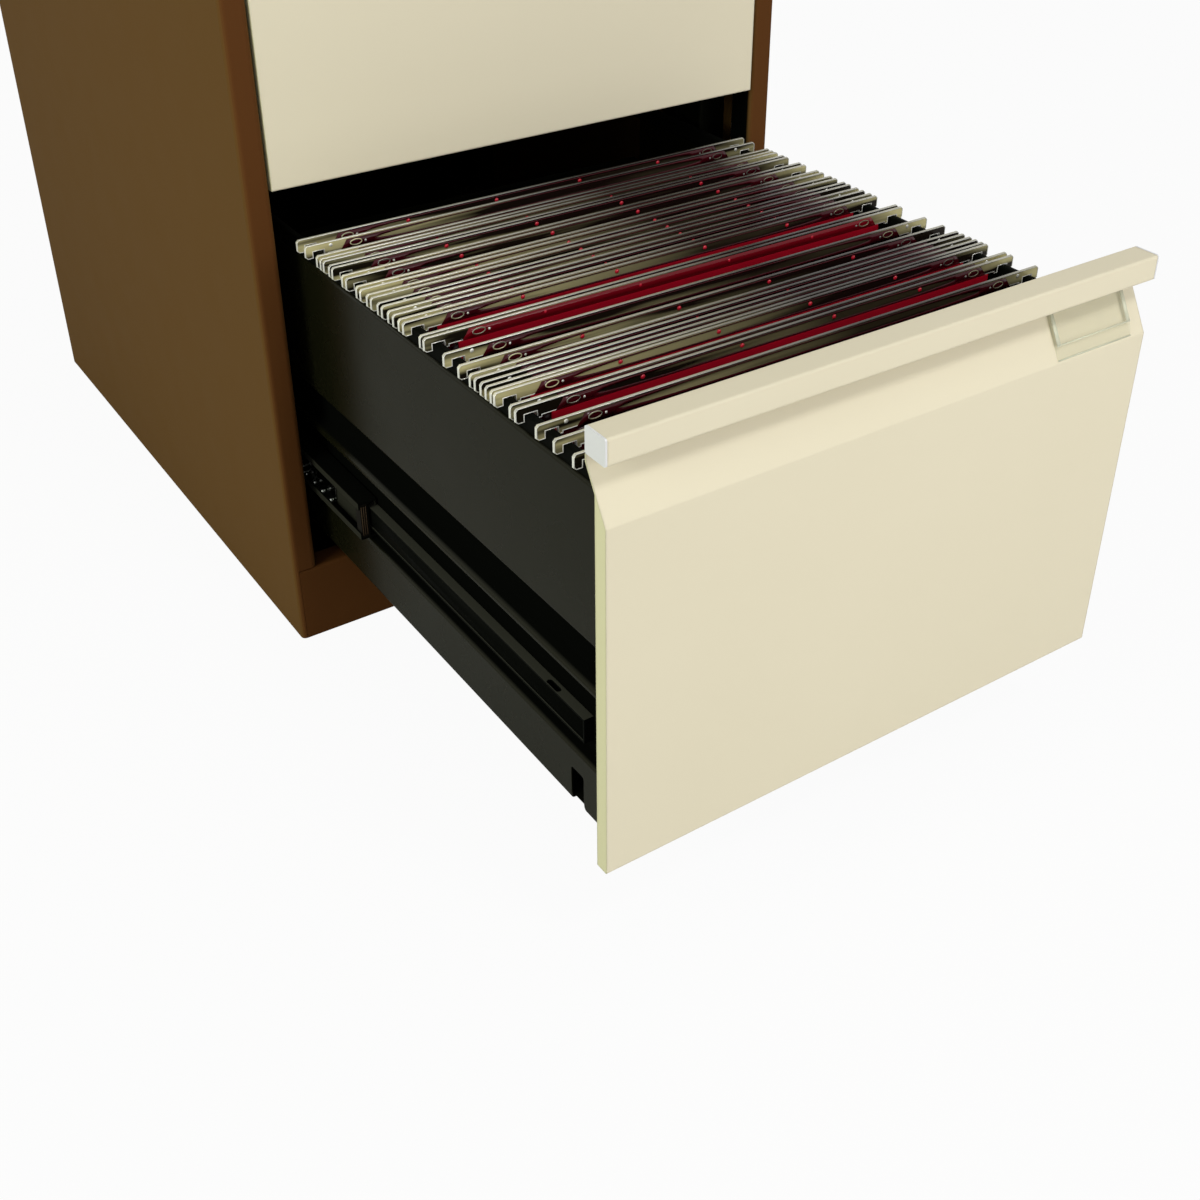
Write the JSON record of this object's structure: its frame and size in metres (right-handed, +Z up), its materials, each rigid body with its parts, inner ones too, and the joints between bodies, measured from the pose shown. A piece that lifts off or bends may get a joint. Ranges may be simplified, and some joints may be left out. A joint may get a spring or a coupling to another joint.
{
  "type": "filing cabinet",
  "caption": "Sheet steel filing cabinet with drawers on ball slides, the lower drawer open and filled with hanging files, a lock in the top rail lifting a locking bar.",
  "frame": {"origin": "on the floor under the middle of the carcass", "axes": "+X to the right as seen by a person who opens the drawers, +Y to the back, +Z up"},
  "size_m": [0.47, 1.044, 0.711],
  "materials": {
    "brown_paint": "semi-gloss brown paint on sheet steel",
    "cream_paint": "semi-gloss cream paint on sheet steel",
    "charcoal_paint": "satin dark grey paint on sheet steel",
    "black_paint": "satin black paint on steel channel",
    "zinc_steel": "zinc plated steel",
    "bar_steel": "bare flat steel strip",
    "cap_plastic": "pale moulded plastic",
    "clear_plastic": "clear plastic label holder",
    "bumper_plastic": "moulded plastic bumper",
    "red_film": "thin glossy dark red plastic film",
    "red_plastic": "glossy red plastic strip, bare"
  },
  "bodies": {
    "cabinet": {"left_side_panel": "brown_paint", "right_side_panel": "brown_paint", "back_panel": "brown_paint", "top_panel": "brown_paint", "plinth": "brown_paint", "base_pan": "brown_paint", "left_front_upright": "charcoal_paint", "right_front_upright": "charcoal_paint", "left_rear_upright": "charcoal_paint", "right_rear_upright": "charcoal_paint", "lower_left_fixed_rail": "zinc_steel", "lower_right_fixed_rail": "zinc_steel", "upper_left_fixed_rail": "zinc_steel", "upper_right_fixed_rail": "zinc_steel", "fixed_rail_screws": "zinc_steel", "lock_housing": "zinc_steel"},
    "lock": {"lock_barrel": "zinc_steel", "lock_crank": "zinc_steel"},
    "locking_bar": {"locking_bar": "zinc_steel"},
    "lower_drawer": {"lower_front": "cream_paint", "lower_front_liner": "charcoal_paint", "lower_handle_caps": "cap_plastic", "lower_label_holder": "clear_plastic", "lower_left_wall": "charcoal_paint", "lower_right_wall": "charcoal_paint", "lower_drawer_back": "charcoal_paint", "lower_drawer_base": "charcoal_paint", "lower_file_rails": "black_paint", "lower_left_drawer_rail": "black_paint", "lower_right_drawer_rail": "black_paint", "lower_drawer_rail_screws": "zinc_steel"},
    "lower_slides": {"lower_left_slide": "charcoal_paint", "lower_right_slide": "charcoal_paint", "lower_slide_bumpers": "bumper_plastic"},
    "lower_inner_cages": {"lower_inner_ball_cages": "zinc_steel"},
    "lower_outer_cages": {"lower_outer_ball_cages": "zinc_steel"},
    "upper_drawer": {"upper_front": "cream_paint", "upper_front_liner": "charcoal_paint", "upper_handle_caps": "cap_plastic", "upper_label_holder": "clear_plastic", "upper_left_wall": "charcoal_paint", "upper_right_wall": "charcoal_paint", "upper_drawer_back": "charcoal_paint", "upper_drawer_base": "charcoal_paint", "upper_file_rails": "black_paint", "upper_left_drawer_rail": "black_paint", "upper_right_drawer_rail": "black_paint", "upper_drawer_rail_screws": "zinc_steel"},
    "upper_slides": {"upper_left_slide": "charcoal_paint", "upper_right_slide": "charcoal_paint", "upper_slide_bumpers": "bumper_plastic"},
    "upper_inner_cages": {"upper_inner_ball_cages": "zinc_steel"},
    "upper_outer_cages": {"upper_outer_ball_cages": "zinc_steel"},
    "front_files": {"front_file_bars": "bar_steel", "front_file_pockets": "red_film", "front_file_strips": "red_plastic"},
    "rear_files": {"rear_file_bars": "bar_steel", "rear_file_pockets": "red_film", "rear_file_strips": "red_plastic"}
  },
  "joints": [
    {"name": "lower_drawer_slide", "type": "slide", "parent": "cabinet", "child": "lower_drawer", "axis": [0, -1, 0], "range_m": [-0.422, 0.058]},
    {"name": "lower_slides_slide", "type": "slide", "parent": "cabinet", "child": "lower_slides", "axis": [0, -1, 0], "range_m": [-0.09284, 0.01276]},
    {"name": "lower_outer_cages_slide", "type": "slide", "parent": "cabinet", "child": "lower_outer_cages", "axis": [0, -1, 0], "range_m": [-0.04642, 0.00638]},
    {"name": "lower_inner_cages_slide", "type": "slide", "parent": "cabinet", "child": "lower_inner_cages", "axis": [0, -1, 0], "range_m": [-0.25742, 0.03538]},
    {"name": "upper_drawer_slide", "type": "slide", "parent": "cabinet", "child": "upper_drawer", "axis": [0, -1, 0], "range_m": [0, 0.48]},
    {"name": "upper_slides_slide", "type": "slide", "parent": "cabinet", "child": "upper_slides", "axis": [0, -1, 0], "range_m": [0, 0.1056]},
    {"name": "upper_outer_cages_slide", "type": "slide", "parent": "cabinet", "child": "upper_outer_cages", "axis": [0, -1, 0], "range_m": [0, 0.0528]},
    {"name": "upper_inner_cages_slide", "type": "slide", "parent": "cabinet", "child": "upper_inner_cages", "axis": [0, -1, 0], "range_m": [0, 0.2928]},
    {"name": "front_files_slide", "type": "slide", "parent": "lower_drawer", "child": "front_files", "axis": [0, -1, 0], "range_m": [0, 0.025]},
    {"name": "rear_files_slide", "type": "slide", "parent": "lower_drawer", "child": "rear_files", "axis": [0, 1, 0], "range_m": [0, 0.115]},
    {"name": "lock_turn", "type": "hinge", "parent": "cabinet", "child": "lock", "pos_m": [0.19, -0.311, 0.702], "axis": [0, -1, 0], "range_deg": [0, 90]},
    {"name": "locking_bar_lift", "type": "slide", "parent": "cabinet", "child": "locking_bar", "axis": [0, 0, 1], "range_m": [0, 0.00565]}
  ],
  "couplings": [
    {"joint": "lower_slides_slide", "follows": "lower_drawer_slide", "ratio": 0.22},
    {"joint": "lower_outer_cages_slide", "follows": "lower_drawer_slide", "ratio": 0.11},
    {"joint": "lower_inner_cages_slide", "follows": "lower_drawer_slide", "ratio": 0.61},
    {"joint": "upper_slides_slide", "follows": "upper_drawer_slide", "ratio": 0.22},
    {"joint": "upper_outer_cages_slide", "follows": "upper_drawer_slide", "ratio": 0.11},
    {"joint": "upper_inner_cages_slide", "follows": "upper_drawer_slide", "ratio": 0.61},
    {"joint": "lock_turn", "follows": "locking_bar_lift", "rad_per_m": 277.68}
  ]
}
